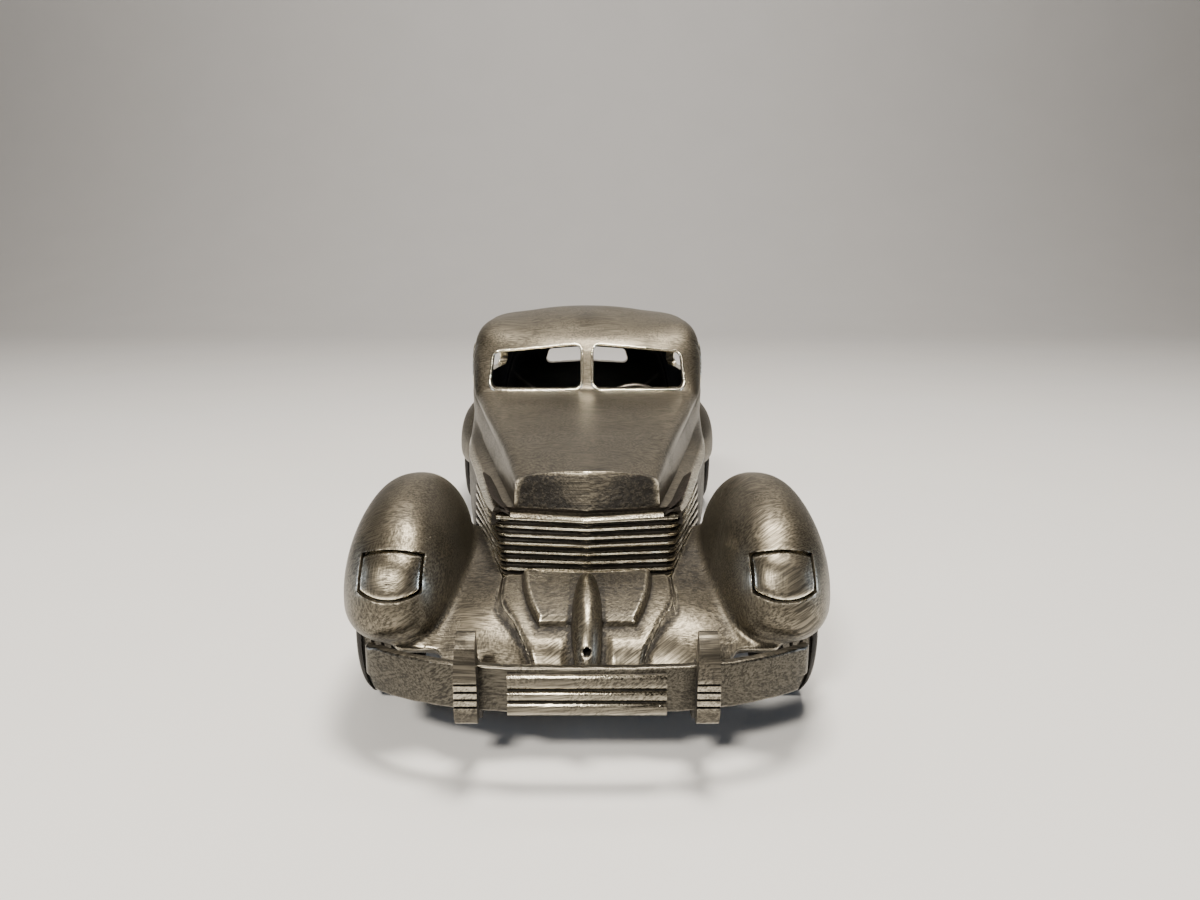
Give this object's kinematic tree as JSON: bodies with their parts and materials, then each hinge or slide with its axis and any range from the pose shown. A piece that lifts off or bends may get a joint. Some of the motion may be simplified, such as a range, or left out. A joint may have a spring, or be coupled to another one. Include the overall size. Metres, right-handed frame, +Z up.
{
  "type": "diecast collector car",
  "caption": "Cast pewter scale model of a 1930s sedan with pontoon wings, louvred nose, split windscreen and free-rolling wheels.",
  "frame": {"origin": "on the ground under the tyres, on the middle plane, at mid length", "axes": "nose towards -Y, tail towards +Y, the car's left side towards +X, +Z up"},
  "size_m": [0.044, 0.116, 0.035],
  "materials": {
    "body_pewter": "antiqued, finely brushed",
    "bumper_pewter": "antiqued, as cast",
    "chassis_pewter": "as cast, dark",
    "interior_pewter": "as cast, dark",
    "wheel_pewter": "antiqued",
    "steel": "plain"
  },
  "bodies": {
    "car": {"body_shell": "body_pewter", "front_wing_left": "body_pewter", "front_wing_right": "body_pewter", "rear_wing_left": "body_pewter", "rear_wing_right": "body_pewter", "headlamp_cover_left": "body_pewter", "headlamp_cover_right": "body_pewter", "gearbox_cover": "body_pewter", "prow_fairing": "body_pewter", "front_bumper_bar": "bumper_pewter", "front_bumper_plate": "bumper_pewter", "front_overrider_left": "bumper_pewter", "front_overrider_right": "bumper_pewter", "front_bumper_iron_left": "bumper_pewter", "front_bumper_iron_right": "bumper_pewter", "rear_bumper_bar": "bumper_pewter", "rear_overrider_left": "bumper_pewter", "rear_overrider_right": "bumper_pewter", "rear_bumper_iron_left": "bumper_pewter", "rear_bumper_iron_right": "bumper_pewter", "base_plate": "chassis_pewter", "base_screws": "steel", "cabin_floor": "chassis_pewter", "dashboard": "interior_pewter", "steering_column": "interior_pewter", "steering_wheel": "interior_pewter", "front_seat": "interior_pewter", "rear_seat": "interior_pewter"},
    "front_wheelset": {"front_axle": "steel", "front_tyre_left": "wheel_pewter", "front_tyre_right": "wheel_pewter", "front_disc_left": "wheel_pewter", "front_disc_right": "wheel_pewter"},
    "rear_wheelset": {"rear_axle": "steel", "rear_tyre_left": "wheel_pewter", "rear_tyre_right": "wheel_pewter", "rear_disc_left": "wheel_pewter", "rear_disc_right": "wheel_pewter"}
  },
  "joints": [
    {"name": "front_axle_roll", "type": "hinge", "parent": "car", "child": "front_wheelset", "pos_m": [0, -0.0385, 0.0081], "axis": [1, 0, 0], "continuous": true},
    {"name": "rear_axle_roll", "type": "hinge", "parent": "car", "child": "rear_wheelset", "pos_m": [0, 0.0353, 0.0081], "axis": [1, 0, 0], "continuous": true}
  ]
}
